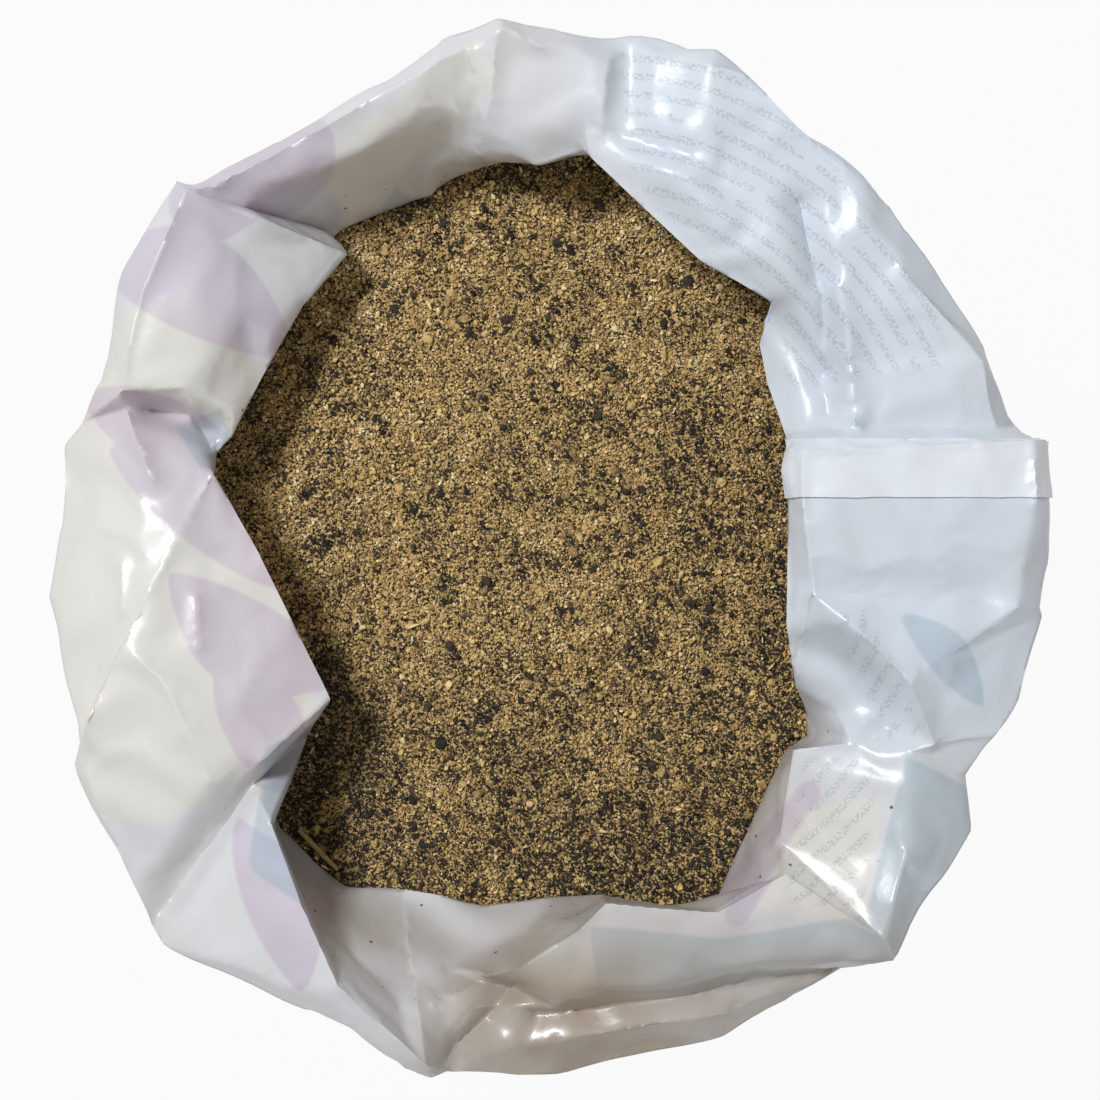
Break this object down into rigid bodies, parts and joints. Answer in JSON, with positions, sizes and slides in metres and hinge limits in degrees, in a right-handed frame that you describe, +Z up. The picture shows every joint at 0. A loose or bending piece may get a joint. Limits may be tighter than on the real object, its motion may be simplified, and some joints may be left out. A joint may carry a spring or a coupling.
{
  "type": "lawn fertilizer bag",
  "caption": "Opened film bag standing filled, its mouth folded outwards into a crumpled collar, holding granular lawn fertilizer.",
  "frame": {"origin": "on the floor under the middle of the bag", "axes": "+Z up through the mouth, +X across the bag along its bottom weld, +Y towards the far side of the mouth in the picture"},
  "size_m": [0.256, 0.268, 0.36],
  "materials": {
    "film": "glossy white polyethylene film, printed outside",
    "fertilizer": "matt brown organic granulate"
  },
  "bodies": {
    "root": {"bag": "film", "fertilizer_fill": "fertilizer"}
  },
  "joints": []
}
